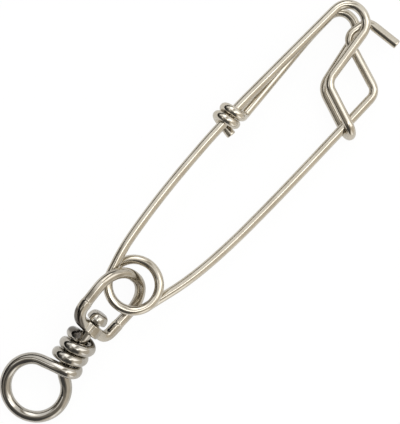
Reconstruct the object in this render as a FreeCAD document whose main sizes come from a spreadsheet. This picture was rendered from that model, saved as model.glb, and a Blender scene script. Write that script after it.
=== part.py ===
import FreeCAD, Part
import math
import os
from FreeCAD import Placement, Rotation, Vector

# Long-line clip lying flat: one spring wire makes the coil, the spine, the doubled guide and the
# gate arm; a forged link is threaded through the coil, and a wire eye turns in the link's base.
# The clip runs along +X, the spine is on the +Y side, and the part rests on Z = 0.

doc = FreeCAD.newDocument("LongLineClip")

# Driving sizes in millimetres and degrees; the coil's axis is the zero of X and Y
SIZES = (
    # Spring wire and its coil
    ("WireDia", 3.2),
    ("CoilRadius", 8.45),
    ("CoilPitch", 3.5),
    ("CoilEntryAngle", 106.5),
    ("CoilExitAngle", 255.1),
    # Two arms: their half widths, and the room in the doubled guide that the gate slides in
    ("SpineSpread", 15.0),
    ("SpineTopSide", 13.44),
    ("SpineRise", 0.45),
    ("SpineTopBend", 150.0),
    ("GateSpread", 15.03),
    ("SlotGap", 0.3),
    ("TipGap", 0.2),
    # Top bend and the doubled guide
    ("BendReach", 117.1),
    ("BackBendSetIn", 3.2),
    ("BackRunStart", 101.0),
    ("GuideCornerX", 92.2),
    ("GuideCornerSide", 0.9),
    ("GuideSlope", 7.0),
    ("GuideBackSlope", 10.5),
    ("GuideLowAngle", 70.1),
    ("GuideBend", 5.0),
    ("GuideBackSetIn", 1.85),
    # Wraps that tie the wire's end to the spine
    ("WrapStart", 64.8),
    ("WrapPitch", 3.4),
    ("WrapGap", 0.05),
    ("WrapLead", 2.2),
    ("TagLength", 4.75),
    # Gate arm: elbow, rising side, shoulder and thumb tail
    ("GateLead", 1.5),
    ("ElbowReach", 101.1),
    ("ElbowBend", 4.0),
    ("SideAngle", 71.2),
    ("ShoulderSide", 4.9),
    ("ShoulderFall", 12.4),
    ("ShoulderBend", 3.5),
    ("TailCornerX", 116.3),
    ("TailBend", 3.0),
    ("TailLength", 12.4),
    ("TailAngle", 85.2),
    # Forged link
    ("LinkWire", 3.7),
    ("LinkHalfWidth", 9.5),
    ("UpperBaseHalf", 9.05),
    ("LowerBaseHalf", 8.5),
    ("LinkLength", 22.2),
    ("LegReach", 11.5),
    ("LegBend", 40.0),
    ("UpperCorner", 4.8),
    ("LowerCorner", 2.8),
    ("LinkTurn", 3.5),
    ("LinkGap", 0.3),
    ("LegLift", 1.75),
    ("BaseReach", 20.0),
    ("BaseSide", 0.63),
    ("BossDia", 7.8),
    ("BossLength", 3.8),
    ("BossRound", 0.6),
    ("BoreDia", 5.0),
    ("BoreMouth", 0.4),
    ("SeamWidth", 0.35),
    ("SeamDepth", 0.35),
    ("SeamAngle", 36.0),
    # Wire eye, its wraps round its own stem and its upset head
    ("EyeWire", 4.0),
    ("EyeRadius", 10.05),
    ("EyeReach", 27.3),
    ("EyeSide", 3.0),
    ("EyeLeave", 42.0),
    ("EyeClose", 20.0),
    ("EyeDip", 1.8),
    ("EyeClimb", 4.2),
    ("EyeLead", 2.6),
    ("EyeBend", 5.0),
    ("EyeTurn", 6.5),
    ("EyeRoll", -4.4),
    ("EyeWrapPitch", 4.2),
    ("EyeWrapGap", 0.06),
    ("EyeWrapEnd", 3.6),
    ("EyeWrapAside", 1.7),
    ("EyeWrapSlant", 0.3),
    ("EyeTagLength", 0.4),
    ("HeadDia", 7.0),
    ("HeadStart", 2.45),
    ("HeadTaper", 0.75),
    ("HeadHeight", 3.0),
    ("HeadRound", 0.7),
)
sheet = doc.addObject("Spreadsheet::Sheet", "Sizes")
for row, (name, value) in enumerate(SIZES, start=1):
    sheet.set(f"A{row}", name)
    sheet.set(f"B{row}", str(value))
    sheet.setAlias(f"B{row}", name)
doc.recompute()

X_AXIS = Vector(1, 0, 0)
Y_AXIS = Vector(0, 1, 0)
Z_AXIS = Vector(0, 0, 1)


def size(name):
    """A driving size read from the sheet."""
    return float(getattr(sheet, name))


def step(length, degrees):
    """A flat step of a length in a direction, anticlockwise from +X."""
    angle = math.radians(degrees)
    return Vector(length * math.cos(angle), length * math.sin(angle), 0)


def slope(degrees):
    """Rise for each millimetre along, of a line at an angle."""
    return math.tan(math.radians(degrees))


# Bent wires

SHORTEST_RUN = 0.02
SHARE_OF_ROOM = 0.97


def reach_of_bends(corners):
    """For each corner, how far its arc reaches along the two runs, and tan of half the turn.

    A corner with no radius takes as large an arc as the runs beside it leave room for.
    """
    points = [point for point, radius in corners]
    inner = range(1, len(points) - 1)
    halves = [0.0] * len(points)
    reaches = [0.0] * len(points)
    for i in inner:
        turn = (points[i] - points[i - 1]).getAngle(points[i + 1] - points[i])
        halves[i] = math.tan(turn / 2)
        if corners[i][1] is not None:
            reaches[i] = corners[i][1] * halves[i]
    for i in inner:
        if corners[i][1] is None:
            rooms = []
            for j in (i - 1, i + 1):
                run = points[i].distanceToPoint(points[j])
                shares_run = corners[j][1] is None and j in inner
                rooms.append(run / 2 if shares_run else run - reaches[j])
            reaches[i] = SHARE_OF_ROOM * min(rooms)
    return reaches, halves


def bent_path(corners):
    """One wire through corners, each (point, radius): straight runs joined by tangent arcs."""
    points = [point for point, radius in corners]
    reaches, halves = reach_of_bends(corners)
    edges = []
    last = points[0]
    for i in range(1, len(points) - 1):
        back = (points[i - 1] - points[i]).normalize()
        onward = (points[i + 1] - points[i]).normalize()
        radius = reaches[i] / halves[i]
        start = points[i] + back * reaches[i]
        end = points[i] + onward * reaches[i]
        inward = (back + onward).normalize()
        middle = points[i] + inward * (math.hypot(radius, reaches[i]) - radius)
        if last.distanceToPoint(start) > SHORTEST_RUN:
            edges.append(Part.LineSegment(last, start).toShape())
        edges.append(Part.Arc(start, middle, end).toShape())
        last = end
    edges.append(Part.LineSegment(last, points[-1]).toShape())
    return Part.Wire(edges)


def swept_wire(name, corners, wire_size):
    """A round wire of a named size swept along the path through corners."""
    spine = doc.addObject("Part::Feature", name + "_path")
    spine.Shape = bent_path(corners)
    section = doc.addObject("Part::Circle", name + "_section")
    section.setExpression("Radius", f"Sizes.{wire_size} / 2")
    heading = corners[1][0] - corners[0][0]
    section.Placement = Placement(corners[0][0], Rotation(Z_AXIS, heading))
    sweep = doc.addObject("Part::Sweep", name)
    sweep.Sections = [section]
    sweep.Spine = (spine, [f"Edge{i + 1}" for i in range(len(spine.Shape.Edges))])
    sweep.Solid = True
    sweep.Frenet = False
    return sweep


def sized(kind, name, sizes, place):
    """A primitive whose sizes are bound to the sheet."""
    thing = doc.addObject(kind, name)
    for key, expression in sizes.items():
        thing.setExpression(key, expression)
    thing.Placement = place
    return thing


class Helix:
    """Turns of a bent wire: across and up span a turn, ahead is the way the turns advance."""

    def __init__(self, centre, across, up, ahead, radius, pitch, begin, way):
        self.centre = centre
        self.across = across
        self.up = up
        self.ahead = ahead
        self.radius = radius
        self.pitch = pitch
        self.begin = begin
        self.way = way

    def point(self, passed, outward=1.0):
        """Place after passed degrees, at the radius times outward."""
        angle = math.radians(self.begin + self.way * passed)
        flat = self.across * math.cos(angle) + self.up * math.sin(angle)
        return self.centre + flat * (self.radius * outward) + self.ahead * (self.pitch * passed / 360)

    def heading(self, passed):
        """Direction of travel after passed degrees."""
        angle = math.radians(self.begin + self.way * passed)
        round_it = self.up * math.cos(angle) - self.across * math.sin(angle)
        rise = self.pitch / (2 * math.pi * self.radius)
        return (round_it * self.way + self.ahead * rise).normalize()

    def corners(self, sweep, count):
        """Corners of equal arcs that touch the helix half way between them."""
        each = sweep / count
        outward = 1 / math.cos(math.radians(each / 2))
        return [(self.point(each * (k + 0.5), outward), None) for k in range(count)]


# Heights of the resting clip, worked out from the wires that lie on each other

wire_radius = size("WireDia") / 2
slot_pitch = 2 * size("WireDia") + 2 * size("SlotGap")
back_z = wire_radius
gate_z = back_z + slot_pitch / 2
front_z = back_z + slot_pitch
coil_exit_z = size("LinkWire") + size("LinkGap") + wire_radius
coil_sweep = size("CoilExitAngle") + 360 - size("CoilEntryAngle")
coil_entry_z = coil_exit_z + size("CoilPitch") * coil_sweep / 360
lower_leg_z = size("LinkWire") / 2
upper_leg_z = coil_entry_z + wire_radius + size("LinkWire") / 2 + size("LegLift")
link_z = (upper_leg_z + lower_leg_z) / 2
link_roll = math.degrees(math.asin((upper_leg_z - link_z) / size("LinkHalfWidth")))

# Coil, from the gate's end up and round to the spine

COIL_ARCS = 11
coil = Helix(Z_AXIS * coil_exit_z, X_AXIS, Y_AXIS, Z_AXIS, size("CoilRadius"),
             size("CoilPitch"), size("CoilExitAngle"), -1)
coil_corners = coil.corners(coil_sweep, COIL_ARCS)


def hook_corners():
    """Spring wire from its cut end: wraps, back strand, guide, top bend, spine and coil."""
    spine = spine_corners()
    bend_x = size("BendReach")
    top = Vector(bend_x, size("SpineTopSide"), front_z)
    last_bow = spine[-1][0]

    def spine_side(x):
        """Side of the straight top of the spine."""
        share = (x - last_bow.x) / (top.x - last_bow.x)
        return last_bow.y + (top.y - last_bow.y) * share

    # Front and back strands of the guide, and the turn of the wire at its tip
    low = step(1.0, size("GuideLowAngle"))
    tip_side = -size("GateSpread") - size("TipGap") - slot_pitch / 2 * low.y
    front = Vector(size("GuideCornerX"), -size("GuideCornerSide"), front_z)
    front_tip = front + low * ((tip_side - front.y) / low.y)
    front_end = Vector(bend_x, front.y + (bend_x - front.x) * slope(size("GuideSlope")), front_z)
    back = Vector(front.x - size("GuideBackSetIn"), front.y, back_z)
    back_tip = back + low * ((tip_side - back.y) / low.y)
    back_x = bend_x - size("BackBendSetIn")
    back_end = Vector(back_x, back.y + (back_x - back.x) * slope(size("GuideBackSlope")), back_z)
    back_top = Vector(back_x, spine_side(back_x), back_z)
    run_x = size("BackRunStart")
    back_run = Vector(run_x, spine_side(run_x), back_z)

    # Wraps round the spine, which is straight there
    ahead = (spine[-2][0] - last_bow).normalize()
    centre = last_bow + ahead * ((size("WrapStart") - last_bow.x) / ahead.x)
    across = Z_AXIS.cross(ahead).normalize()
    wraps = Helix(centre, across, ahead.cross(across), ahead,
                  size("WireDia") + size("WrapGap"), size("WrapPitch"), 0, 1)
    strand_end = wraps.point(0) - wraps.heading(0) * size("WrapLead")
    cut_end = wraps.point(WRAP_SWEEP) + wraps.heading(WRAP_SWEEP) * size("TagLength")

    corners = [(cut_end, None)]
    corners += reversed(wraps.corners(WRAP_SWEEP, WRAP_ARCS))
    corners += [(strand_end, None), (back_run, None), (back_top, None), (back_end, None)]
    corners += [(back, size("GuideBend")), (back_tip, None), (front_tip, None)]
    corners += [(front, size("GuideBend")), (front_end, None), (top, None)]
    corners += reversed(spine)
    corners += reversed(coil_corners)
    corners += [(coil.point(0), None)]
    return corners


# Bow of each arm: pairs of a share of its length and a share of its half width

SPINE_BOW = ((0.085, 0.696), (0.185, 0.773), (0.369, 0.872), (0.569, 0.941))
SPINE_STRAIGHT = ((0.79, 0.983), (1.04, 1.0))
GATE_BOW = ((0.114, 0.787), (0.218, 0.89), (0.336, 0.954), (0.495, 0.986), (0.653, 0.998))
WRAP_SWEEP = 630
WRAP_ARCS = 14


def spine_corners():
    """Bowed spine from the coil to its straight stretch under the wraps."""
    start_z = coil_entry_z + size("SpineRise")
    corners = []
    for bow, radius in ((SPINE_BOW, None), (SPINE_STRAIGHT, size("SpineTopBend"))):
        for along, aside in bow:
            x = along * size("WrapStart")
            z = start_z + (front_z - start_z) * x / size("BendReach")
            corners.append((Vector(x, aside * size("SpineSpread"), z), radius))
    return corners


def gate_corners():
    """Gate arm from the coil: bowed arm, elbow, rising side, shoulder and thumb tail."""
    start = coil.point(0)
    lead = start + (start - coil_corners[0][0]).normalize() * size("GateLead")
    elbow = Vector(size("ElbowReach"), -size("GateSpread"), gate_z)
    side = size("ShoulderSide")
    shoulder = Vector(elbow.x + (side - elbow.y) / slope(size("SideAngle")), side, gate_z)
    fall = (size("TailCornerX") - shoulder.x) * slope(size("ShoulderFall"))
    tail = Vector(size("TailCornerX"), side - fall, gate_z)
    corners = [(start, None), (lead, None)]
    for along, aside in GATE_BOW:
        z = lead.z + (gate_z - lead.z) * along
        corners.append((Vector(along * elbow.x, aside * elbow.y, z), None))
    corners += [(elbow, size("ElbowBend")), (shoulder, size("ShoulderBend"))]
    corners += [(tail, size("TailBend")), (tail + step(size("TailLength"), -size("TailAngle")), None)]
    return corners


# Link, in its own frame: X along it from the middle of its base, Y towards the upper leg


def link_corners():
    """Wire of the link: half the base, a leg, the bow, the other leg and half the base."""
    sides = []
    for which, way in (("Lower", -1), ("Upper", 1)):
        bow = way * size("LinkHalfWidth")
        sides.append([
            (Vector(0, way * size("BoreDia") / 4, 0), None),
            (Vector(0, way * size(which + "BaseHalf"), 0), size(which + "Corner")),
            (Vector(size("LegReach"), bow, 0), size("LegBend")),
            (Vector(size("LinkLength"), bow, 0), None),
        ])
    lower, upper = sides
    return lower + upper[::-1]


ALONG_X = Rotation(Y_AXIS, 90)
AGAINST_X = Rotation(Y_AXIS, -90)


def build_link():
    """Link bent from wire, with a bored boss where its two ends meet and the seam between them."""
    half_boss = size("BossLength") / 2
    bar = swept_wire("link_bar", link_corners(), "LinkWire")
    boss = sized("Part::Cylinder", "link_boss",
                 {"Radius": "Sizes.BossDia / 2", "Height": "Sizes.BossLength"},
                 Placement(Vector(-half_boss, 0, 0), ALONG_X))
    doc.recompute()
    rounded = doc.addObject("Part::Fillet", "link_boss_rounded")
    rounded.Base = boss
    rounded.Edges = [(i + 1, size("BossRound"), size("BossRound"))
                     for i, edge in enumerate(boss.Shape.Edges) if edge.isClosed()]
    blank = doc.addObject("Part::Fuse", "link_blank")
    blank.Base = bar
    blank.Tool = rounded

    tools = [sized("Part::Cylinder", "link_bore",
                   {"Radius": "Sizes.BoreDia / 2", "Height": "Sizes.BossLength * 2"},
                   Placement(Vector(-2 * half_boss, 0, 0), ALONG_X))]
    for name, place in (("link_mouth_out", Placement(Vector(-half_boss, 0, 0), ALONG_X)),
                        ("link_mouth_in", Placement(Vector(half_boss, 0, 0), AGAINST_X))):
        tools.append(sized("Part::Cone", name,
                           {"Radius1": "Sizes.BoreDia / 2 + Sizes.BoreMouth",
                            "Radius2": "Sizes.BoreDia / 2", "Height": "Sizes.BoreMouth"}, place))
    on_seam = Placement(Vector(), Rotation(X_AXIS, -size("SeamAngle")))
    corner = Vector(-half_boss, -size("SeamWidth") / 2, size("BossDia") / 2 - size("SeamDepth"))
    tools.append(sized("Part::Box", "link_seam",
                       {"Length": "Sizes.BossLength", "Width": "Sizes.SeamWidth",
                        "Height": "Sizes.SeamDepth * 2"},
                       on_seam * Placement(corner, Rotation())))
    cutters = doc.addObject("Part::MultiFuse", "link_cutters")
    cutters.Shapes = tools
    link = doc.addObject("Part::Cut", "swivel_link")
    link.Base = blank
    link.Tool = cutters
    lie = Rotation(Z_AXIS, size("LinkTurn")) * Rotation(X_AXIS, link_roll)
    link.Placement = Placement(base_centre, lie)
    return link


# Eye, in its own frame: X along the stem towards the head, from the middle of the link's bore

EYE_RING_ARCS = 8
EYE_WRAP_SWEEP = 1062
EYE_WRAP_ARCS = 24
EYE_WRAPS_STRAIGHT = 170
ring_sweep = 360 - size("EyeLeave") - size("EyeClose")
ring = Helix(Vector(-size("EyeReach"), size("EyeSide"), -size("EyeDip")), X_AXIS, Y_AXIS, Z_AXIS,
             size("EyeRadius"), size("EyeClimb") * 360 / ring_sweep, -size("EyeLeave"), -1)
eye_travel = size("EyeWrapPitch") * EYE_WRAP_SWEEP / 360
eye_wraps = Helix(X_AXIS * (-size("EyeWrapEnd") - eye_travel), Y_AXIS, Z_AXIS, X_AXIS,
                  size("EyeWire") + size("EyeWrapGap"), size("EyeWrapPitch"), 90, 1)
base_centre = Vector(-size("BaseReach"), size("BaseSide"), link_z)


def eye_lie(pitch):
    """How the eye lies in the base when its stem rises by a pitch towards the head."""
    return (Rotation(Z_AXIS, size("EyeTurn")) * Rotation(Y_AXIS, -pitch)
            * Rotation(X_AXIS, size("EyeRoll")))


def resting_pitch():
    """Pitch at which the ring or the wraps come down to the floor, found by halving a range."""
    on_wire = [ring.point(passed) for passed in range(int(ring_sweep))]
    on_wire += [eye_wraps.point(passed) for passed in range(EYE_WRAP_SWEEP)]
    low, high = 0.0, 45.0
    for _ in range(40):
        pitch = (low + high) / 2
        lie = eye_lie(pitch)
        lowest = min(lie.multVec(point).z for point in on_wire)
        if link_z + lowest > size("EyeWire") / 2:
            low = pitch
        else:
            high = pitch
    return pitch


def eye_corners():
    """Wire of the eye: stem, ring, crossing over the stem and the wraps round it."""
    leave = ring.point(0)
    toward = ring.heading(0)
    stem_bend = Vector(leave.x - toward.x / toward.y * leave.y, 0, 0)
    last = eye_wraps.point(EYE_WRAP_SWEEP)
    cut_end = last + eye_wraps.heading(EYE_WRAP_SWEEP) * size("EyeTagLength")
    crossing = eye_wraps.point(0) - eye_wraps.heading(0) * size("EyeLead")
    inside_head = size("HeadStart") + size("HeadTaper")
    each = EYE_WRAP_SWEEP / EYE_WRAP_ARCS

    def aside(passed):
        """How far a wrap leans along the stem, and stands aside where the stem bends away."""
        lean = size("EyeWrapSlant") * math.cos(math.radians(eye_wraps.begin + passed))
        stand = size("EyeWrapAside") * max(0, 1 - passed / EYE_WRAPS_STRAIGHT)
        return -X_AXIS * lean - Y_AXIS * stand

    corners = [(X_AXIS * inside_head, None), (stem_bend, size("EyeBend"))]
    corners += ring.corners(ring_sweep, EYE_RING_ARCS)
    corners += [(crossing + aside(0), None)]
    corners += [(place + aside(each * (k + 0.5)), radius)
                for k, (place, radius) in enumerate(eye_wraps.corners(EYE_WRAP_SWEEP, EYE_WRAP_ARCS))]
    corners += [(cut_end, None)]
    return corners


def build_eye():
    """Wire eye with its upset head, a short cone and a disc with a rounded rim."""
    wire = swept_wire("eye_wire", eye_corners(), "EyeWire")
    cone = sized("Part::Cone", "eye_head_cone",
                 {"Radius1": "Sizes.EyeWire / 2", "Radius2": "Sizes.HeadDia / 2",
                  "Height": "Sizes.HeadTaper"},
                 Placement(X_AXIS * size("HeadStart"), ALONG_X))
    disc = sized("Part::Cylinder", "eye_head_disc",
                 {"Radius": "Sizes.HeadDia / 2", "Height": "Sizes.HeadHeight"},
                 Placement(X_AXIS * (size("HeadStart") + size("HeadTaper")), ALONG_X))
    doc.recompute()
    rims = [i + 1 for i, edge in enumerate(disc.Shape.Edges) if edge.isClosed()]
    rim = max(rims, key=lambda i: disc.Shape.Edges[i - 1].CenterOfMass.x)
    rounded = doc.addObject("Part::Fillet", "eye_head_rounded")
    rounded.Base = disc
    rounded.Edges = [(rim, size("HeadRound"), size("HeadRound"))]
    eye = doc.addObject("Part::MultiFuse", "swivel_eye")
    eye.Shapes = [wire, cone, rounded]
    eye.Placement = Placement(base_centre, eye_lie(resting_pitch()))
    return eye


# Pieces, set so that the part's plan centre is at the origin and it rests on Z = 0

nodes = [
    swept_wire("hook_wire", hook_corners(), "WireDia"),
    swept_wire("gate_arm", gate_corners(), "WireDia"),
    build_link(),
    build_eye(),
]
doc.recompute()
box = Part.makeCompound([node.Shape for node in nodes]).optimalBoundingBox(False, False)
to_origin = Placement(Vector(-box.Center.x, -box.Center.y, -box.ZMin), Rotation())
for node in nodes:
    node.Label = node.Name
    node.Placement = to_origin * node.Placement
doc.recompute()

# Every object of the document has to be sound before a file is written

for thing in doc.Objects:
    if "Invalid" in thing.State or "Error" in thing.State:
        raise RuntimeError(f"{thing.Name} failed: {thing.State}")
for node in nodes:
    if node.Shape.isNull() or not node.Shape.isValid() or len(node.Shape.Solids) != 1:
        raise RuntimeError(f"{node.Label} is not one valid solid")

os.makedirs("parts", exist_ok=True)
for node in nodes:
    node.Shape.exportStep(f"parts/{node.Label}.step")
    print(f"{node.Label}: {node.Shape.Volume:.1f} mm3")
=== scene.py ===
import math

import bmesh
import bpy
import numpy as np
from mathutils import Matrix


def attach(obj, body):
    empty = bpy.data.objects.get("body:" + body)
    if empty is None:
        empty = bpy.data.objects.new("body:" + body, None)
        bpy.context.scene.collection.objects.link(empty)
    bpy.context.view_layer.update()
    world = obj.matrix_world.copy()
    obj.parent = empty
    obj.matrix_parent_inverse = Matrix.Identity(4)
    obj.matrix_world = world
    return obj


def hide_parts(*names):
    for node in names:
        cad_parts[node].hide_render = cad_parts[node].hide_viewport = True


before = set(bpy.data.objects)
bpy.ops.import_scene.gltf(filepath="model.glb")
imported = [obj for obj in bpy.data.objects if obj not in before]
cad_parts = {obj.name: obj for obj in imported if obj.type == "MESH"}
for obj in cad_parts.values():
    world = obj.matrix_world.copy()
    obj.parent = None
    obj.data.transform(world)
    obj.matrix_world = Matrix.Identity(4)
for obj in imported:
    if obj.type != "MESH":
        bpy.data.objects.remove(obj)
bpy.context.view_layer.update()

# Looks of a long-line clip: drawn spring wire bent into a clip, a swaged link through its coil,
# and a bent wire eye that turns in the link's base. Lengths are millimetres until add_mesh();
# Blender's own settings, such as a voxel, a lamp and the camera, are in metres.

X_AXIS = np.array([1.0, 0.0, 0.0])
Y_AXIS = np.array([0.0, 1.0, 0.0])
Z_AXIS = np.array([0.0, 0.0, 1.0])

# Place of the coil's axis in the part's plan
COIL_AXIS = np.array([-30.0140, 0.1694, 0.0011])


# Vectors and turns


def point(x, y, z=0.0):
    """A point or a vector as an array."""
    return np.array([x, y, z], dtype=float)


def unit(vectors):
    """Vectors divided by their own lengths."""
    return vectors / np.linalg.norm(vectors, axis=-1, keepdims=True)


def turned(axis, degrees):
    """Matrix of a turn about X, Y or Z by the right-hand rule."""
    cos, sin = math.cos(math.radians(degrees)), math.sin(math.radians(degrees))
    rows = {
        "X": [[1, 0, 0], [0, cos, -sin], [0, sin, cos]],
        "Y": [[cos, 0, sin], [0, 1, 0], [-sin, 0, cos]],
        "Z": [[cos, -sin, 0], [sin, cos, 0], [0, 0, 1]],
    }
    return np.array(rows[axis])


def slope(degrees):
    """Rise for each millimetre along."""
    return math.tan(math.radians(degrees))


def plan_direction(degrees):
    """Direction in the plan, turned from X towards Y."""
    return point(math.cos(math.radians(degrees)), math.sin(math.radians(degrees)))


def ease(x):
    """Smooth step: 3 x squared less 2 x cubed, held at 0 and 1 outside that range."""
    x = np.clip(x, 0.0, 1.0)
    return x * x * (3.0 - 2.0 * x)


def rise(values, start, width):
    """Smooth step that leaves 0 at start and reaches 1 a width further on."""
    return ease((values - start) / width)


# Centre lines of bent wire

ARC_STATIONS = 24
FREE_REACH = 0.97


class Helix:
    """Turns of wire: centre + radius (across cos a + up sin a) + ahead pitch p / 360.

    p is the degrees passed from the start, and a is begin + way p.
    """

    def __init__(self, centre, across, up, ahead, radius, pitch, begin, way):
        self.centre, self.across, self.up, self.ahead = centre, across, up, ahead
        self.radius, self.pitch, self.begin, self.way = radius, pitch, begin, way

    def at(self, passed, outward=1.0):
        """Place after passed degrees."""
        angle = math.radians(self.begin + self.way * passed)
        flat = self.across * math.cos(angle) + self.up * math.sin(angle)
        return self.centre + flat * self.radius * outward + self.ahead * self.pitch * passed / 360

    def heading(self, passed):
        """Direction of travel after passed degrees."""
        angle = math.radians(self.begin + self.way * passed)
        round_it = self.up * math.cos(angle) - self.across * math.sin(angle)
        climb = self.pitch / (2 * math.pi * self.radius)
        return unit(round_it * self.way + self.ahead * climb)

    def corners(self, sweep, count):
        """Corners whose arcs touch the helix half way between them."""
        each = sweep / count
        outward = 1 / math.cos(math.radians(each / 2))
        return [(self.at(each * (k + 0.5), outward), None) for k in range(count)]


def bend_reaches(corners):
    """How far each corner's arc reaches along its two runs, and the tangent of half its turn.

    A corner with a radius reaches radius times that tangent; the free corners share the rest.
    """
    points = [place for place, radius in corners]
    last = len(points) - 1
    halves = np.zeros(len(points))
    reaches = np.zeros(len(points))
    for i in range(1, last):
        before = unit(points[i] - points[i - 1])
        after = unit(points[i + 1] - points[i])
        halves[i] = math.tan(math.acos(np.clip(before @ after, -1, 1)) / 2)
        if corners[i][1] is not None:
            reaches[i] = corners[i][1] * halves[i]
    for i in range(1, last):
        if corners[i][1] is None:
            rooms = []
            for j in (i - 1, i + 1):
                run = np.linalg.norm(points[i] - points[j])
                shared = corners[j][1] is None and 0 < j < last
                rooms.append(run / 2 if shared else run - reaches[j])
            reaches[i] = FREE_REACH * min(rooms)
    return reaches, halves


def centre_line(corners, spacing=0.3, soften=0.35):
    """Even stations along straight runs and tangent arcs, softened as real wire bends.

    The middle of an arc is corner + inward hypot(radius, reach), and about it the arc turns from
    one run to the next: (start sin((1 - s) w) + end sin(s w)) / sin w, where w is the whole turn.
    The line is then averaged along its length with a bell, exp(-(distance / soften) squared / 2).
    """
    points = [place for place, radius in corners]
    reaches, halves = bend_reaches(corners)
    pieces = [points[0][None, :]]
    for i in range(1, len(points) - 1):
        back = unit(points[i - 1] - points[i])
        onward = unit(points[i + 1] - points[i])
        radius = reaches[i] / halves[i]
        middle = points[i] + unit(back + onward) * math.hypot(radius, reaches[i])
        start = points[i] + back * reaches[i] - middle
        end = points[i] + onward * reaches[i] - middle
        whole = math.acos(np.clip(start @ end / radius**2, -1, 1))
        share = np.linspace(0, 1, ARC_STATIONS)[:, None]
        arc = (start * np.sin((1 - share) * whole) + end * np.sin(share * whole)) / math.sin(whole)
        pieces.append(middle + arc)
    pieces.append(points[-1][None, :])
    rough = np.concatenate(pieces)
    steps = np.linalg.norm(np.diff(rough, axis=0), axis=1)
    rough = rough[np.concatenate([[True], steps > 1e-6])]
    along = np.concatenate([[0], np.cumsum(np.linalg.norm(np.diff(rough, axis=0), axis=1))])
    even = np.linspace(0, along[-1], int(along[-1] / spacing) + 1)
    line = np.stack([np.interp(even, along, rough[:, k]) for k in range(3)], axis=1)
    width = int(4 * soften / spacing) + 2
    bell = np.exp(-0.5 * (np.arange(-width, width + 1) * spacing / soften) ** 2)
    bell /= bell.sum()
    before = line[0] - (line[1] - line[0]) * np.arange(width, 0, -1)[:, None]
    after = line[-1] + (line[-1] - line[-2]) * np.arange(1, width + 1)[:, None]
    padded = np.concatenate([before, line, after])
    return np.stack([np.convolve(padded[:, k], bell, "valid") for k in range(3)], axis=1)


def travel(line):
    """Distance of each station from the start of a line."""
    return np.concatenate([[0], np.cumsum(np.linalg.norm(np.diff(line, axis=0), axis=1))])


def section_frames(line, first):
    """Tangents and two directions across the line that don't twist along it.

    Each step takes out of the last direction what lies along the new tangent.
    """
    tangents = unit(np.gradient(line, axis=0))
    side = first
    sides = np.empty_like(line)
    for i, tangent in enumerate(tangents):
        side = side - tangent * (side @ tangent)
        side = side / np.linalg.norm(side)
        sides[i] = side
    return tangents, sides, np.cross(tangents, sides)


# Meshes

# Radius of the wire over that of the bend at which the flattening of bent wire is whole
TIGHT_BEND = 0.45

# Radius of a cut's flat face as a share of the wire's
CUT_FACE = 0.8


def link_object(name, mesh):
    """A smooth-shaded object of a mesh, in the scene."""
    mesh.shade_smooth()
    mesh.update()
    thing = bpy.data.objects.new(name, mesh)
    bpy.context.scene.collection.objects.link(thing)
    return thing


def add_mesh(name, vertices, faces, uvs=None):
    """A mesh object from millimetre vertices; uvs has one pair for each corner of a face."""
    mesh = bpy.data.meshes.new(name)
    mesh.from_pydata((np.asarray(vertices) * 0.001).tolist(), [], faces)
    if uvs is not None:
        layer = mesh.uv_layers.new(name="along_wire")
        layer.data.foreach_set("uv", np.asarray(uvs, dtype=np.float32).ravel())
    return link_object(name, mesh)


def mark_painted_shade(thing, shares):
    """Share of painted shade at each vertex of a piece, 0 to 1."""
    layer = thing.data.attributes.new("painted_shade", "FLOAT", "POINT")
    layer.data.foreach_set("value", np.asarray(shares, dtype=np.float32))


def wire_grid(line, radii, first=Y_AXIS, count=36, flatten=0.05, square=None):
    """Surface of a wire: station + radius (side cos t + other sin t), closed by a point at each end.

    In a bend the wire is flatter towards the bend's centre by the share flatten, as bent wire is.
    square is a power n for each station, 2 where the wire is round and more where it has been
    pressed towards a square: the radius is divided by (|cos|^n + |sin|^n)^(1/n).
    """
    tangents, sides, others = section_frames(line, first)
    angle = np.linspace(0, 2 * np.pi, count, endpoint=False)
    cos, sin = np.cos(angle), np.sin(angle)
    around = sides[:, None, :] * cos[:, None] + others[:, None, :] * sin[:, None]
    away = travel(line)
    turning = np.gradient(tangents, away, axis=0)
    tightness = np.linalg.norm(turning, axis=1)
    toward = turning / np.maximum(tightness, 1e-9)[:, None]
    pressed = flatten * ease(tightness * np.median(radii) / TIGHT_BEND)
    aligned = np.einsum("ijk,ik->ij", around, toward)
    reach = radii[:, None] * (1 - pressed[:, None] * aligned**2)
    if square is not None:
        power = square[:, None]
        reach = reach / (np.abs(cos) ** power + np.abs(sin) ** power) ** (1 / power)
    skin = line[:, None, :] + around * reach[:, :, None]
    rows = len(line)
    vertices = np.concatenate([skin.reshape(-1, 3), line[:1], line[-1:]])
    row, column = np.meshgrid(np.arange(rows - 1), np.arange(count), indexing="ij")
    following = (column + 1) % count
    quads = np.stack([row * count + column, (row + 1) * count + column,
                      (row + 1) * count + following, row * count + following], axis=-1)
    ring = np.arange(count)
    onward = (ring + 1) % count
    first_cap = np.stack([np.full(count, rows * count), ring, onward], axis=1)
    base = (rows - 1) * count
    last_cap = np.stack([np.full(count, rows * count + 1), base + onward, base + ring], axis=1)
    quads = quads.reshape(-1, 4)[:, ::-1]
    faces = quads.tolist() + first_cap[:, ::-1].tolist() + last_cap[:, ::-1].tolist()
    girth = 2 * np.pi * np.median(radii) / count
    u = away[np.stack([row, row + 1, row + 1, row], axis=-1).reshape(-1, 4)[:, ::-1]]
    v = np.stack([column, column, column + 1, column + 1], axis=-1).reshape(-1, 4)[:, ::-1] * girth
    caps = np.zeros((count * 6, 2))
    caps[: count * 3, 0] = away[0]
    caps[count * 3:, 0] = away[-1]
    uvs = np.concatenate([np.stack([u.ravel(), v.ravel()], axis=1), caps])
    return vertices, faces, uvs


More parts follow.
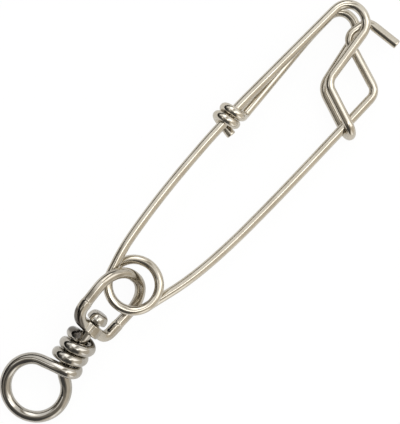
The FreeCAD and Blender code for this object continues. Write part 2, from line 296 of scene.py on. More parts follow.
def cut_ends(away, radius, start_bevel, end_bevel):
    """Radius along a cut wire: each end is rounded over by the tumbling, over its bevel's length.

    It grows from the cut's flat face along a quarter of a circle: 1 - (1 - s) squared, rooted.
    """
    from_start = np.clip(away / start_bevel, 0, 1)
    from_end = np.clip((away[-1] - away) / end_bevel, 0, 1)
    start = np.sqrt(1 - (1 - from_start) ** 2)
    end = np.sqrt(1 - (1 - from_end) ** 2)
    at_start = CUT_FACE + (1 - CUT_FACE) * start
    at_end = CUT_FACE + (1 - CUT_FACE) * end
    return radius * at_start * at_end


def closer_at_ends(line, steps=(0.03, 0.08, 0.16)):
    """The line with extra stations just inside each end, so that a cut's edge is crisp."""
    away = travel(line)
    extra = np.concatenate([steps, away[-1] - np.array(steps)])
    along = np.unique(np.concatenate([away, extra]))
    return np.stack([np.interp(along, away, line[:, k]) for k in range(3)], axis=1)


# Clip wire, one piece of drawn spring wire; X and Y are counted from the coil's axis

WIRE_RADIUS = 1.6
SLOT_PITCH = 7.0
BACK_Z = WIRE_RADIUS
GATE_Z = BACK_Z + SLOT_PITCH / 2
FRONT_Z = BACK_Z + SLOT_PITCH

COIL_RADIUS = 8.45
COIL_PITCH = 3.5
COIL_SWEEP = 508.6
COIL_ARCS = 11
COIL_EXIT_ANGLE = 255.1
COIL_EXIT_Z = 5.6
COIL_ENTRY_Z = COIL_EXIT_Z + COIL_PITCH * COIL_SWEEP / 360

SPINE_RISE = 0.45
SPINE_SPREAD = 15.0
SPINE_BOW = ((0.085, 0.696), (0.185, 0.773), (0.369, 0.872), (0.569, 0.941))
SPINE_STRAIGHT = ((0.79, 0.983), (1.04, 1.0))
SPINE_EASY_RADIUS = 150.0
BEND_REACH = 117.1
BEND_SIDE = 13.44
BACK_BEND_SHORT = 3.2
BACK_LANDING = 101.0

WRAP_START = 64.8
WRAP_PITCH = 3.4
WRAP_PLAY = 0.05
WRAP_SWEEP = 630
WRAP_ARCS = 14
STRAND_LEAD = 2.2
TAG_LENGTH = 4.75

GUIDE_X = 92.2
GUIDE_Y = -0.9
GUIDE_RADIUS = 5.0
GUIDE_BACK_SHIFT = 1.85
GUIDE_LOW_ANGLE = 70.1
GUIDE_TIP_ROOM = 0.2
FRONT_STRAND_ANGLE = 7.0
BACK_STRAND_ANGLE = 10.5

GATE_SPREAD = 15.03
GATE_BOW = ((0.114, 0.787), (0.218, 0.89), (0.336, 0.954), (0.495, 0.986), (0.653, 0.998))
GATE_LEAD = 1.5
ELBOW_REACH = 101.1
ELBOW_RADIUS = 4.0
RISE_ANGLE = 71.2
SHOULDER_SIDE = 4.9
SHOULDER_RADIUS = 3.5
TAIL_REACH = 116.3
TAIL_SLOPE = 12.4
TAIL_RADIUS = 3.0
TAIL_LENGTH = 12.4
TAIL_HEADING = -85.2

TAG_BEVEL = 0.35
TAIL_BEVEL = 0.45
SHARP_BEVEL = 0.01
STUB_SWEEP = 14.0
STUB_STATIONS = 8
STUB_PLAY = 0.04

coil = Helix(Z_AXIS * COIL_EXIT_Z, X_AXIS, Y_AXIS, Z_AXIS, COIL_RADIUS, COIL_PITCH,
             COIL_EXIT_ANGLE, -1)
coil_corners = coil.corners(COIL_SWEEP, COIL_ARCS)


def spine_corners():
    """Bow of the spine from the coil to the straight stretch under the wraps."""
    start_z = COIL_ENTRY_Z + SPINE_RISE
    corners = []
    for bow, radius in ((SPINE_BOW, None), (SPINE_STRAIGHT, SPINE_EASY_RADIUS)):
        for along, aside in bow:
            x = along * WRAP_START
            z = start_z + (FRONT_Z - start_z) * x / BEND_REACH
            corners.append((point(x, aside * SPINE_SPREAD, z), radius))
    return corners


def wrap_corners(last_bow, ahead):
    """The cut tag and the wraps round the spine, then the strand that leaves them."""
    centre = last_bow + ahead * (WRAP_START - last_bow[0]) / ahead[0]
    across = unit(np.cross(Z_AXIS, ahead))
    wraps = Helix(centre, across, np.cross(ahead, across), ahead, 2 * WIRE_RADIUS + WRAP_PLAY,
                  WRAP_PITCH, 0, 1)
    strand_start = wraps.at(0) - wraps.heading(0) * STRAND_LEAD
    cut_end = wraps.at(WRAP_SWEEP) + wraps.heading(WRAP_SWEEP) * TAG_LENGTH
    turns = wraps.corners(WRAP_SWEEP, WRAP_ARCS)
    return [(cut_end, None)] + turns[::-1] + [(strand_start, None)]


def clip_corners():
    """The wire from its cut tag: wraps, back strand, top bend, guide, top bend, spine and coil."""
    spine = spine_corners()
    last_bow = spine[-1][0]
    top = point(BEND_REACH, BEND_SIDE, FRONT_Z)

    def spine_side(x):
        """Side of the straight top of the spine."""
        return last_bow[1] + (top[1] - last_bow[1]) * (x - last_bow[0]) / (top[0] - last_bow[0])

    low = plan_direction(GUIDE_LOW_ANGLE)
    tip_side = -GATE_SPREAD - GUIDE_TIP_ROOM - SLOT_PITCH / 2 * low[1]
    front = point(GUIDE_X, GUIDE_Y, FRONT_Z)
    front_tip = front + low * (tip_side - front[1]) / low[1]
    front_side = front[1] + (BEND_REACH - front[0]) * slope(FRONT_STRAND_ANGLE)
    front_end = point(BEND_REACH, front_side, FRONT_Z)
    back = point(GUIDE_X - GUIDE_BACK_SHIFT, GUIDE_Y, BACK_Z)
    back_tip = back + low * (tip_side - back[1]) / low[1]
    back_x = BEND_REACH - BACK_BEND_SHORT
    back_end = point(back_x, back[1] + (back_x - back[0]) * slope(BACK_STRAND_ANGLE), BACK_Z)
    back_top = point(back_x, spine_side(back_x), BACK_Z)
    back_run = point(BACK_LANDING, spine_side(BACK_LANDING), BACK_Z)
    corners = wrap_corners(last_bow, unit(spine[-2][0] - last_bow))
    corners += [(back_run, None), (back_top, None), (back_end, None)]
    corners += [(back, GUIDE_RADIUS), (back_tip, None), (front_tip, None)]
    corners += [(front, GUIDE_RADIUS), (front_end, None), (top, None)]
    return corners + spine[::-1] + coil_corners[::-1] + [(coil.at(0), None)]


def gate_corners():
    """Gate arm: bowed arm, elbow, rising side, shoulder and thumb tail."""
    start = coil.at(0)
    lead = start + unit(start - coil_corners[0][0]) * GATE_LEAD
    elbow = point(ELBOW_REACH, -GATE_SPREAD, GATE_Z)
    shoulder_x = elbow[0] + (SHOULDER_SIDE - elbow[1]) / slope(RISE_ANGLE)
    shoulder = point(shoulder_x, SHOULDER_SIDE, GATE_Z)
    tail_side = SHOULDER_SIDE - (TAIL_REACH - shoulder_x) * slope(TAIL_SLOPE)
    tail = point(TAIL_REACH, tail_side, GATE_Z)
    tail_end = tail + TAIL_LENGTH * plan_direction(TAIL_HEADING)
    corners = [(start, None), (lead, None)]
    for along, aside in GATE_BOW:
        z = lead[2] + (GATE_Z - lead[2]) * along
        corners.append((point(along * elbow[0], aside * elbow[1], z), None))
    bends = [(elbow, ELBOW_RADIUS), (shoulder, SHOULDER_RADIUS), (tail, TAIL_RADIUS)]
    return corners + bends + [(tail_end, None)]


def build_clip_wire():
    """Clip wire swept along its centre line, with a sheared and tumbled tag end."""
    line = closer_at_ends(centre_line(clip_corners())) + COIL_AXIS
    radii = cut_ends(travel(line), WIRE_RADIUS, TAG_BEVEL, SHARP_BEVEL)
    return add_mesh("clip_wire", *wire_grid(line, radii, X_AXIS))


def build_gate_wire():
    """Gate arm, with a stub that follows the coil inside its last turn, so no gap opens there."""
    passed = np.linspace(STUB_SWEEP, 1.0, STUB_STATIONS)
    angle = np.radians(COIL_EXIT_ANGLE) - np.radians(passed)
    height = COIL_EXIT_Z + COIL_PITCH * passed / 360
    stub = np.stack([COIL_RADIUS * np.cos(angle), COIL_RADIUS * np.sin(angle), height], axis=1)
    arm = closer_at_ends(centre_line(gate_corners()))
    line = np.concatenate([stub, arm]) + COIL_AXIS
    radii = cut_ends(travel(line), WIRE_RADIUS, SHARP_BEVEL, TAIL_BEVEL)
    radii[:STUB_STATIONS] = WIRE_RADIUS - STUB_PLAY
    return add_mesh("gate_wire", *wire_grid(line, radii, Z_AXIS))


# Link, in its own frame: X along it from the middle of its base, Y towards the upper leg

LINK_RADIUS = 1.85
LINK_BOW = 9.5
LINK_REACH = 22.2
LEG_LIFT = 1.75
LOWER_LEG_Z = LINK_RADIUS
UPPER_LEG_Z = COIL_ENTRY_Z + WIRE_RADIUS + LINK_RADIUS + LEG_LIFT
LINK_Z = (UPPER_LEG_Z + LOWER_LEG_Z) / 2
LINK_ROLL = math.degrees(math.asin((UPPER_LEG_Z - LINK_Z) / LINK_BOW))
LINK_TURN = 3.5
LINK_LIE = turned("Z", LINK_TURN) @ turned("X", LINK_ROLL)
BASE_CENTRE = point(-20.0, 0.63, LINK_Z) + COIL_AXIS
BASE_SEAM_HALF = 3.3
UPPER_BASE_HALF = 9.05
LOWER_BASE_HALF = 8.5
UPPER_BASE_RADIUS = 4.8
LOWER_BASE_RADIUS = 2.8
LEG_REACH = 11.5
LEG_RADIUS = 40.0
BARREL_RADIUS = 3.9
BARREL_HALF = 1.9
BARREL_ROUNDING = 0.55
BORE_RADIUS = 2.5

# The dies press the wire near the base squarer and thinner; INSIDE_BOX keeps it in the CAD box
SWAGE_END = 7.2
SWAGE_FADE = 1.2
SWAGE_SQUARE = 1.1
SWAGE_THIN = 0.03
INSIDE_BOX = 0.995
VOXEL = 0.00013
TUMBLING_PASSES = 7

# The seam is a groove along the barrel, at an angle round the bore, and fades out short of the
# barrel's ends and of the bore; the dies' edge is a finer groove across each leg
SEAM_ANGLE = 54.0
SEAM_DEPTH = 0.3
SEAM_WIDTH = 0.2
SEAM_HALF_LENGTH = 2.3
SEAM_END_FADE = 0.3
SEAM_INNER_RADIUS = 3.0
SEAM_INNER_FADE = 0.5
DIE_EDGE = 6.4
DIE_EDGE_DEPTH = 0.12
DIE_EDGE_WIDTH = 0.18

# Painted shade lies on the side of the base that faces the eye: past a ridge in the plan,
# which is given by a point and the direction across it, and past a limit in X and in Y
RIDGE_X = -22.0
RIDGE_Y = 0.5
RIDGE_ACROSS_X = -0.823
RIDGE_ACROSS_Y = 0.567
RIDGE_FADE = 0.6
LINK_PAINTED_SHADE_X = -16.6
LINK_PAINTED_SHADE_X_FADE = 1.4
LINK_PAINTED_SHADE_Y = 0.3
LINK_PAINTED_SHADE_Y_FADE = 0.6


def link_corners():
    """Wire of the link from one half of the base round the bow to the other."""
    halves = []
    for way, base_half, radius in ((-1, LOWER_BASE_HALF, LOWER_BASE_RADIUS),
                                   (1, UPPER_BASE_HALF, UPPER_BASE_RADIUS)):
        halves.append([
            (point(0, way * BASE_SEAM_HALF), None),
            (point(0, way * base_half), radius),
            (point(LEG_REACH, way * LINK_BOW), LEG_RADIUS),
            (point(LINK_REACH, way * LINK_BOW), None),
        ])
    lower, upper = halves
    return lower + upper[::-1]


def revolved(profile, count=72):
    """Closed ring of a profile (x, radius) turned about X: (x, r cos t, r sin t)."""
    angle = np.linspace(0, 2 * np.pi, count, endpoint=False)
    x, r = profile[:, 0][:, None], profile[:, 1][:, None]
    skin = np.stack([x + 0 * angle, r * np.cos(angle), r * np.sin(angle)], axis=-1)
    rows = len(profile)
    row, column = np.meshgrid(np.arange(rows), np.arange(count), indexing="ij")
    below, following = (row + 1) % rows, (column + 1) % count
    quads = np.stack([row * count + column, row * count + following,
                      below * count + following, below * count + column], axis=-1)
    return skin.reshape(-1, 3), quads.reshape(-1, 4).tolist()


def rounded_profile(corners, radius, count=6):
    """Closed outline with each corner rounded off.

    Along a corner it is (1 - s) squared start + 2 s (1 - s) corner + s squared end.
    """
    outline = []
    share = np.linspace(0, 1, count)[:, None]
    for i, corner in enumerate(corners):
        before = corners[i - 1]
        after = corners[(i + 1) % len(corners)]
        start = corner + unit(before - corner) * radius
        end = corner + unit(after - corner) * radius
        outline.append((1 - share) ** 2 * start + 2 * share * (1 - share) * corner + share**2 * end)
    return np.concatenate(outline)


def build_link():
    """Link: pressed wire and a bored barrel, run together by a fine remesh as swaging does."""
    line = centre_line(link_corners(), spacing=0.25)
    near_base = rise(-line[:, 0], -SWAGE_END, SWAGE_FADE)
    power = 2.0 + SWAGE_SQUARE * near_base
    radii = LINK_RADIUS * (INSIDE_BOX - SWAGE_THIN * near_base)
    wire_vertices, wire_faces, _ = wire_grid(line, radii, Z_AXIS, flatten=0.03, square=power)
    corners = np.array([[-BARREL_HALF, BORE_RADIUS], [BARREL_HALF, BORE_RADIUS],
                        [BARREL_HALF, BARREL_RADIUS], [-BARREL_HALF, BARREL_RADIUS]])
    barrel_vertices, barrel_faces = revolved(rounded_profile(corners, BARREL_ROUNDING))
    shift = len(wire_vertices)
    vertices = np.concatenate([wire_vertices, barrel_vertices])
    faces = wire_faces + [[v + shift for v in face] for face in barrel_faces]
    blank = add_mesh("link_blank", vertices, faces)
    refresh_normals(blank.data)
    remesh = blank.modifiers.new("run_together", "REMESH")
    remesh.mode = "VOXEL"
    remesh.voxel_size = VOXEL
    soften = blank.modifiers.new("tumbled", "SMOOTH")
    soften.factor = 0.5
    soften.iterations = TUMBLING_PASSES
    finished = blank.evaluated_get(bpy.context.evaluated_depsgraph_get())
    mesh = bpy.data.meshes.new_from_object(finished)
    bpy.data.objects.remove(blank)
    places = np.empty(len(mesh.vertices) * 3)
    mesh.vertices.foreach_get("co", places)
    places = press_marks(places.reshape(-1, 3) * 1000) @ LINK_LIE.T + BASE_CENTRE
    mesh.vertices.foreach_set("co", (places * 0.001).ravel())
    mesh.name = "link_forging"
    link = link_object("link_forging", mesh)
    # Painted shade on the side of the base that faces the eye's last wrap
    x, y, _ = (places - COIL_AXIS).T
    past_ridge = (y - RIDGE_Y) * RIDGE_ACROSS_Y + (x - RIDGE_X) * RIDGE_ACROSS_X
    near_eye = rise(past_ridge, -RIDGE_FADE / 2, RIDGE_FADE)
    near_eye *= rise(-x, -LINK_PAINTED_SHADE_X, LINK_PAINTED_SHADE_X_FADE)
    mark_painted_shade(link, near_eye * rise(y, LINK_PAINTED_SHADE_Y, LINK_PAINTED_SHADE_Y_FADE))
    return link


def press_marks(places):
    """Seam where the link's two ends meet, and the edge of the dies across each leg.

    Both are grooves: the skin moves in by depth times exp(-(distance / width) squared).
    """
    x, y, z = places.T
    out = np.hypot(y, z)
    angle = np.degrees(np.arctan2(z, y))
    aside = np.radians((angle - SEAM_ANGLE + 180) % 360 - 180) * out
    along_barrel = rise(-np.abs(x), -SEAM_HALF_LENGTH, SEAM_END_FADE)
    on_barrel = along_barrel * rise(out, SEAM_INNER_RADIUS, SEAM_INNER_FADE)
    seam = SEAM_DEPTH * np.exp(-((aside / SEAM_WIDTH) ** 2)) * on_barrel
    to_bore = np.stack([0 * x, -y, -z], axis=1) / np.maximum(out, 1e-6)[:, None]
    places = places + to_bore * seam[:, None]
    die_edge = DIE_EDGE_DEPTH * np.exp(-(((x - DIE_EDGE) / DIE_EDGE_WIDTH) ** 2))
    way = np.where(y > 0, 1, -1)
    base_half = np.where(y > 0, UPPER_BASE_HALF, LOWER_BASE_HALF)
    leg_side = way * (base_half + (LINK_BOW - base_half) * DIE_EDGE / LEG_REACH)
    to_leg = np.stack([0 * x, leg_side - y, -z], axis=1)
    to_leg /= np.maximum(np.linalg.norm(to_leg, axis=1), 1e-6)[:, None]
    return places + to_leg * die_edge[:, None]


def refresh_normals(mesh):
    """Faces of a closed mesh turned outwards."""
    shape = bmesh.new()
    shape.from_mesh(mesh)
    bmesh.ops.recalc_face_normals(shape, faces=shape.faces)
    shape.to_mesh(mesh)
    shape.free()


# Eye, in its own frame: X along the stem towards the head, from the middle of the link's bore

EYE_RADIUS = 2.0
EYE_PITCH = 10.35
EYE_TURN = 6.5
EYE_ROLL = -4.4
EYE_LIE = turned("Z", EYE_TURN) @ turned("Y", -EYE_PITCH) @ turned("X", EYE_ROLL)
EYE_LEAVE = 42.0
EYE_CLOSE = 20.0
RING_CENTRE = point(-27.3, 3.0, -1.8)
RING_RADIUS = 10.05
RING_RISE = 4.2
RING_SWEEP = 360 - EYE_LEAVE - EYE_CLOSE
RING_ARCS = 8
STEM_BEND_RADIUS = 5.0
CROSSING_LEAD = 2.6
CROSSING_STAND = 1.7
CROSSING_SWEEP = 170
EYE_WRAP_SWEEP = 1062
EYE_WRAP_ARCS = 24
EYE_WRAP_PITCH = 4.2
EYE_WRAP_PLAY = 0.06
EYE_WRAP_LEAN = 0.3
EYE_WRAP_END = -3.6
EYE_TAG = 0.4
EYE_BEVEL = 0.4
HEAD_START = 2.45
HEAD_END = 6.2
HEAD_CONE = 0.75
HEAD_FLARE = 1.5
HEAD_CROWN = 2.6
HEAD_TOP_SHARE = 0.5
HEAD_STATIONS_REACH = 5.0
HEAD_STATIONS_STEP = 0.08
EYE_CUT_STATIONS = (0.04, 0.1, 0.2)

# Painted shade lies on the last wrap, between these places along the stem, off the stem's own
# skin and where the surface faces the link
WRAP_PAINTED_SHADE_START = -4.9
WRAP_PAINTED_SHADE_START_FADE = 0.8
WRAP_PAINTED_SHADE_END = -1.4
WRAP_PAINTED_SHADE_END_FADE = 1.0
STEM_CLEAR_RADIUS = 2.3
STEM_CLEAR_FADE = 0.5
FACES_LINK_FROM = -0.24
FACES_LINK_FADE = 0.4

ring = Helix(RING_CENTRE, X_AXIS, Y_AXIS, Z_AXIS, RING_RADIUS, RING_RISE * 360 / RING_SWEEP,
             -EYE_LEAVE, -1)
eye_wraps = Helix(X_AXIS * (EYE_WRAP_END - EYE_WRAP_PITCH * EYE_WRAP_SWEEP / 360), Y_AXIS, Z_AXIS,
                  X_AXIS, 2 * EYE_RADIUS + EYE_WRAP_PLAY, EYE_WRAP_PITCH, 90, 1)


def eye_corners():
    """Wire of the eye: stem, ring, crossing over the stem and the wraps round it.

    The first half turn stands off the stem as it comes round from the crossing, and each wrap
    leans along the stem by the cosine of its angle.
    """
    leave = ring.at(0)
    toward = ring.heading(0)
    stem_bend = point(leave[0] - toward[0] / toward[1] * leave[1], 0, 0)
    crossing = eye_wraps.at(0) - eye_wraps.heading(0) * CROSSING_LEAD
    cut_end = eye_wraps.at(EYE_WRAP_SWEEP) + eye_wraps.heading(EYE_WRAP_SWEEP) * EYE_TAG
    passed = EYE_WRAP_SWEEP / EYE_WRAP_ARCS * (np.arange(EYE_WRAP_ARCS) + 0.5)
    leans = EYE_WRAP_LEAN * np.cos(np.radians(eye_wraps.begin + passed))
    stands = CROSSING_STAND * np.clip(1 - passed / CROSSING_SWEEP, 0, 1)
    corners = [(X_AXIS * HEAD_END, None), (stem_bend, STEM_BEND_RADIUS)]
    corners += ring.corners(RING_SWEEP, RING_ARCS)
    corners += [(crossing - Y_AXIS * CROSSING_STAND, None)]
    for (place, radius), lean, stand in zip(eye_wraps.corners(EYE_WRAP_SWEEP, EYE_WRAP_ARCS),
                                            leans, stands):
        corners.append((place - X_AXIS * lean - Y_AXIS * stand, radius))
    return corners + [(cut_end, None)]


def head_radius(x):
    """Upset head: a smooth cone up from the stem, then a crown that falls to half the radius.

    Over the crown it is cone (share + (1 - share) root of (1 - s squared)), s from 0 to 1.
    """
    cone = EYE_RADIUS + HEAD_FLARE * rise(x, HEAD_START, HEAD_CONE)
    crown = np.clip((x - (HEAD_END - HEAD_CROWN)) / HEAD_CROWN, 0, 1)
    return cone * (HEAD_TOP_SHARE + (1 - HEAD_TOP_SHARE) * np.sqrt(1 - crown**2))


def build_eye():
    """Eye swept in one piece, with the upset head at the stem's end and a cut after the wraps."""
    line = centre_line(eye_corners())
    away = travel(line)
    fine_head = np.arange(0.0, HEAD_STATIONS_REACH, HEAD_STATIONS_STEP)
    fine_cut = away[-1] - np.array(EYE_CUT_STATIONS)
    along = np.unique(np.concatenate([away, fine_head, fine_cut]))
    line = np.stack([np.interp(along, away, line[:, k]) for k in range(3)], axis=1)
    away = travel(line)
    radii = cut_ends(away, EYE_RADIUS, SHARP_BEVEL, EYE_BEVEL)
    on_head = away < HEAD_END - HEAD_START
    radii[on_head] = head_radius(line[on_head, 0])
    vertices, faces, uvs = wire_grid(line, radii, Z_AXIS, count=40, flatten=0.04)
    eye = add_mesh("eye_wire", vertices @ EYE_LIE.T + BASE_CENTRE, faces, uvs)
    # Painted shade on the last wrap where it faces the link's base
    normals = np.empty(len(vertices) * 3)
    eye.data.vertices.foreach_get("normal", normals)
    ahead = normals.reshape(-1, 3) @ EYE_LIE[:, 0]
    x, y, z = vertices.T
    last_wrap = rise(x, WRAP_PAINTED_SHADE_START, WRAP_PAINTED_SHADE_START_FADE)
    last_wrap *= rise(-x, -WRAP_PAINTED_SHADE_END, WRAP_PAINTED_SHADE_END_FADE)
    last_wrap *= rise(ahead, FACES_LINK_FROM, FACES_LINK_FADE)
    mark_painted_shade(eye, last_wrap * rise(np.hypot(y, z), STEM_CLEAR_RADIUS, STEM_CLEAR_FADE))
    return eye


clip_wire = build_clip_wire()
gate_wire = build_gate_wire()
link_forging = build_link()
eye_wire = build_eye()


# Colours and materials

WHITE = "#ffffff"
WARM = "#fff7ea"


def colour(hex_code):
    """An sRGB hex colour as linear red, green, blue and alpha 1."""
    parts = [int(hex_code[i:i + 2], 16) / 255 for i in (1, 3, 5)]
    return [c / 12.92 if c <= 0.04045 else ((c + 0.055) / 1.055) ** 2.4 for c in parts] + [1.0]


def add_node(tree, kind, links=None, **settings):
    """A node with its settings; links maps an input socket to a value or to an output socket."""
    node = tree.nodes.new(kind)
    for key, value in settings.items():
        setattr(node, key, value)
    for key, value in (links or {}).items():
        if isinstance(value, bpy.types.NodeSocket):
            tree.links.new(value, node.inputs[key])
        else:
            node.inputs[key].default_value = value
    return node


def blank_material(name):
    """A material with an empty node tree, and its output node."""
    material = bpy.data.materials.new(name)
    material.use_nodes = True
    material.node_tree.nodes.clear()
    return material, material.node_tree, material.node_tree.nodes.new("ShaderNodeOutputMaterial")


# Patterns, counted to the metre: dents 1.1 mm apart and patches of stain 6 mm apart
DENTS = 900.0
STAINS = 160.0

# On wire the UV map is in millimetres along and round it. With the noise's own scale this gives
# lines 0.15 mm apart in runs of 8 mm; a forging, which has no such map, gets 0.5 mm grains.
LINES_ON_WIRE = (0.06, 3.0, 1.0)
GRAINS_ON_FORGING = (900.0, 900.0, 900.0)
LINE_NOISE = 2.2

# Near-black colour of the painted shade between the link's base and the eye's last wrap
PAINTED_SHADE = "#433d38"


def drawn_stainless(name, light, dark, roughness, on_wire=True):
    """Drawn stainless wire, tumbled bright: faint lines along the wire and fine tumbling dents.

    The die leaves the lines and the tumbling media leave the shallow dents. Both only stir the
    reflections. The tint drifts between light and dark as the stain does. Where the painted-shade
    attribute is 1 the steel is painted nearly black, as painted shade for the shaded gap that two
    facing parts reflect in each other.
    """
    material, tree, output = blank_material(name)
    place = add_node(tree, "ShaderNodeTexCoord")
    mapped = add_node(tree, "ShaderNodeMapping", {
        "Vector": place.outputs["UV" if on_wire else "Object"],
        "Scale": LINES_ON_WIRE if on_wire else GRAINS_ON_FORGING})
    lines = add_node(tree, "ShaderNodeTexNoise", {
        "Vector": mapped.outputs[0], "Scale": LINE_NOISE, "Detail": 3.0, "Roughness": 0.6})
    dents = add_node(tree, "ShaderNodeTexNoise", {
        "Vector": place.outputs["Object"], "Scale": DENTS, "Detail": 2.0})
    stain = add_node(tree, "ShaderNodeTexNoise", {
        "Vector": place.outputs["Object"], "Scale": STAINS, "Detail": 4.0})
    share = add_node(tree, "ShaderNodeMapRange", {
        "Value": stain.outputs["Fac"], "From Min": 0.3, "From Max": 0.62})
    tint = add_node(tree, "ShaderNodeMix", {
        0: share.outputs[0], 6: colour(dark), 7: colour(light)}, data_type="RGBA")
    # Painted shade: where the attribute is set the colour goes towards near black, in patches
    painted_shade = add_node(tree, "ShaderNodeAttribute", attribute_name="painted_shade")
    patchy = add_node(tree, "ShaderNodeMapRange", {
        "Value": stain.outputs["Fac"], "From Min": 0.35, "From Max": 0.6,
        "To Min": 0.55, "To Max": 0.9})
    shade_share = add_node(tree, "ShaderNodeMath", {
        0: painted_shade.outputs["Fac"], 1: patchy.outputs[0]}, operation="MULTIPLY")
    base = add_node(tree, "ShaderNodeMix", {
        0: shade_share.outputs[0], 6: tint.outputs[2], 7: colour(PAINTED_SHADE)}, data_type="RGBA")
    rough = add_node(tree, "ShaderNodeMapRange", {
        "Value": lines.outputs["Fac"], "From Min": 0.3, "From Max": 0.7,
        "To Min": roughness * 0.75, "To Max": roughness * 1.45})
    lined = add_node(tree, "ShaderNodeBump", {
        "Height": lines.outputs["Fac"], "Strength": 0.12, "Distance": 0.00002})
    dented = add_node(tree, "ShaderNodeBump", {
        "Height": dents.outputs["Fac"], "Strength": 0.22, "Distance": 0.00004,
        "Normal": lined.outputs[0]})
    shader = add_node(tree, "ShaderNodeBsdfPrincipled", {
        "Base Color": base.outputs[2], "Metallic": 1.0, "Roughness": rough.outputs[0],
        "Normal": dented.outputs[0]})
    tree.links.new(shader.outputs[0], output.inputs["Surface"])
    return material


# Spring wire is a little yellow from its heat treatment; the swaged link is more uneven; the eye
# is of bright-drawn wire, which is greyer and mirrors more sharply.
spring_steel = drawn_stainless("spring_wire_stainless_tumbled", "#cfc8ba", "#c2baab", 0.13)
link_steel = drawn_stainless("swaged_stainless_tumbled", "#c9c2b5", "#a39b8d", 0.12, False)
eye_steel = drawn_stainless("bright_stainless_wire", "#beb9b0", "#a9a49a", 0.08)

for piece, node, body, steel, slot in (
        (clip_wire, "hook_wire", "frame", spring_steel, "spring_wire"),
        (gate_wire, "gate_arm", "gate", spring_steel, "spring_wire"),
        (link_forging, "swivel_link", "link", link_steel, "link_steel"),
        (eye_wire, "swivel_eye", "eye", eye_steel, "eye_steel")):
    piece.data.materials.append(steel)
    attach(piece, body)
    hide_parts(node)


# Stage: white floor, soft light from a wide tent, and the dark of the room round its edge

FLOOR_HALF = 900.0
FLOOR_Z = -0.02
FLOOR_GLOW = 1.02
GLOW_TO_CAMERA = 0.93
GLOW_TO_MIRRORS = 0.5


def build_floor():
    """White sweep that the clip lies on.

    Its paper takes the shadow. The camera sees mostly its glow, so that the shadow stays faint,
    and mirror rays see half of it, so that the metal shows a white floor.
    """
    corners = [(way_x * FLOOR_HALF, way_y * FLOOR_HALF, FLOOR_Z)
               for way_x, way_y in ((-1, -1), (1, -1), (1, 1), (-1, 1))]
    floor = add_mesh("floor", corners, [[0, 1, 2, 3]])
    material, tree, output = blank_material("white_paper_sweep")
    paper = add_node(tree, "ShaderNodeBsdfDiffuse", {"Color": colour("#f4f4f4")})
    glow = add_node(tree, "ShaderNodeEmission", {"Color": colour(WHITE), "Strength": FLOOR_GLOW})
    rays = add_node(tree, "ShaderNodeLightPath")
    mirrored = add_node(tree, "ShaderNodeMath", {
        0: rays.outputs["Is Glossy Ray"], 1: GLOW_TO_MIRRORS}, operation="MULTIPLY")
    share = add_node(tree, "ShaderNodeMath", {
        0: rays.outputs["Is Camera Ray"], 1: GLOW_TO_CAMERA, 2: mirrored.outputs[0]},
        operation="MULTIPLY_ADD")
    mixed = add_node(tree, "ShaderNodeMixShader", {
        0: share.outputs[0], 1: paper.outputs[0], 2: glow.outputs[0]})
    tree.links.new(mixed.outputs[0], output.inputs["Surface"])
    floor.data.materials.append(material)


# What the tent shows the metal. A panel covers the directions whose X, Y and Z lie within its
# limits; after them come the softness of its edge, its level and its tint. Later panels cover
# earlier ones.
TENT_LEVEL = 1.02
TENT_PANELS = (
    ({"Y": (-1.5, -0.34)}, 0.1, 0.77, WARM),
    ({"X": (0.2, 0.75), "Y": (-0.62, -0.13)}, 0.07, 2.2, WHITE),
    ({"X": (0.2, 0.75), "Y": (0.34, 0.66)}, 0.07, 2.6, WHITE),
    ({"X": (0.18, 0.85), "Y": (0.11, 0.27)}, 0.04, 0.45, WARM),
    ({"X": (-0.16, 0.16), "Y": (-0.25, -0.1)}, 0.04, 3.4, WHITE),
    ({"X": (-0.55, -0.18), "Y": (-1.5, -0.78)}, 0.06, 1.5, WHITE),
    ({"X": (-1.5, -0.14), "Y": (-0.62, 1.5)}, 0.08, 0.25, WARM),
    ({"X": (-1.5, -0.44), "Y": (-0.62, 1.5)}, 0.1, 0.09, WHITE),
    ({"X": (-0.55, -0.2), "Y": (0.4, 0.54)}, 0.04, 1.5, WHITE),
    ({"X": (-0.85, -0.3), "Y": (0.12, 0.36)}, 0.05, 0.34, WARM),
    ({"Y": (0.45, 1.5), "Z": (-0.5, 0.34)}, 0.04, 0.02, WHITE),
)


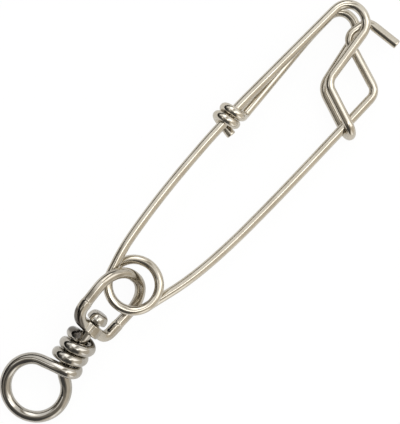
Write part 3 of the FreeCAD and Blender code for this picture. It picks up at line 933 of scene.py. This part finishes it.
def build_world():
    """Light tent: a level dome with soft-edged panels, white where the camera sees it.

    A panel's share is the product of a smooth step at each of its limits.
    """
    world = bpy.data.worlds.new("light_tent")
    bpy.context.scene.world = world
    world.use_nodes = True
    tree = world.node_tree
    tree.nodes.clear()
    output = tree.nodes.new("ShaderNodeOutputWorld")
    place = add_node(tree, "ShaderNodeTexCoord")
    parts = add_node(tree, "ShaderNodeSeparateXYZ", {0: place.outputs["Generated"]})
    seen = [TENT_LEVEL] * 3 + [1.0]
    for limits, edge, level, tint in TENT_PANELS:
        panel = [level * part for part in colour(tint)[:3]] + [1.0]
        share = 1.0
        for axis, (low, high) in limits.items():
            for start, end in ((low - edge, low + edge), (high + edge, high - edge)):
                step = add_node(tree, "ShaderNodeMapRange", {
                    "Value": parts.outputs[axis], "From Min": start, "From Max": end},
                    interpolation_type="SMOOTHSTEP")
                share = add_node(tree, "ShaderNodeMath", {0: step.outputs[0], 1: share},
                                 operation="MULTIPLY").outputs[0]
        seen = add_node(tree, "ShaderNodeMix", {0: share, 6: seen, 7: panel},
                        data_type="RGBA").outputs[2]
    tent = add_node(tree, "ShaderNodeBackground", {"Color": seen, "Strength": 1.0})
    white = add_node(tree, "ShaderNodeBackground", {"Color": colour(WHITE), "Strength": 1.0})
    rays = add_node(tree, "ShaderNodeLightPath")
    mixed = add_node(tree, "ShaderNodeMixShader", {
        0: rays.outputs["Is Camera Ray"], 1: tent.outputs[0], 2: white.outputs[0]})
    tree.links.new(mixed.outputs[0], output.inputs["Surface"])


def add_softbox():
    """A long softbox above and beyond the guide's end of the clip, for a faint shadow."""
    data = bpy.data.lights.new("overhead_softbox", "AREA")
    data.shape = "RECTANGLE"
    data.size = 0.5
    data.size_y = 0.1
    data.energy = 0.12
    lamp = bpy.data.objects.new("overhead_softbox", data)
    lamp.location = (0.2, -0.14, 0.8)
    lamp.rotation_euler = (math.radians(10), math.radians(14), 0.0)
    bpy.context.scene.collection.objects.link(lamp)


VIEW_CENTRE = (0.00246, 0.00067)
VIEW_HEIGHT = 0.13978
VIEW_ROLL = -46.86
CLIP_LEVEL = 0.007
SENSOR = 36.0
LENS = 200.0


def add_camera():
    """Camera straight above, rolled so that the clip runs up to the right at 47 degrees.

    It stands far enough off for its lens to take in the view's height at the clip's level.
    """
    data = bpy.data.cameras.new("camera")
    data.sensor_fit = "VERTICAL"
    data.sensor_height = SENSOR
    data.lens = LENS
    camera = bpy.data.objects.new("camera", data)
    camera.location = (*VIEW_CENTRE, CLIP_LEVEL + VIEW_HEIGHT * LENS / SENSOR)
    camera.rotation_euler = (0.0, 0.0, math.radians(VIEW_ROLL))
    bpy.context.scene.collection.objects.link(camera)
    bpy.context.scene.camera = camera


build_floor()
build_world()
add_softbox()
add_camera()
bpy.context.scene.view_settings.view_transform = "Standard"
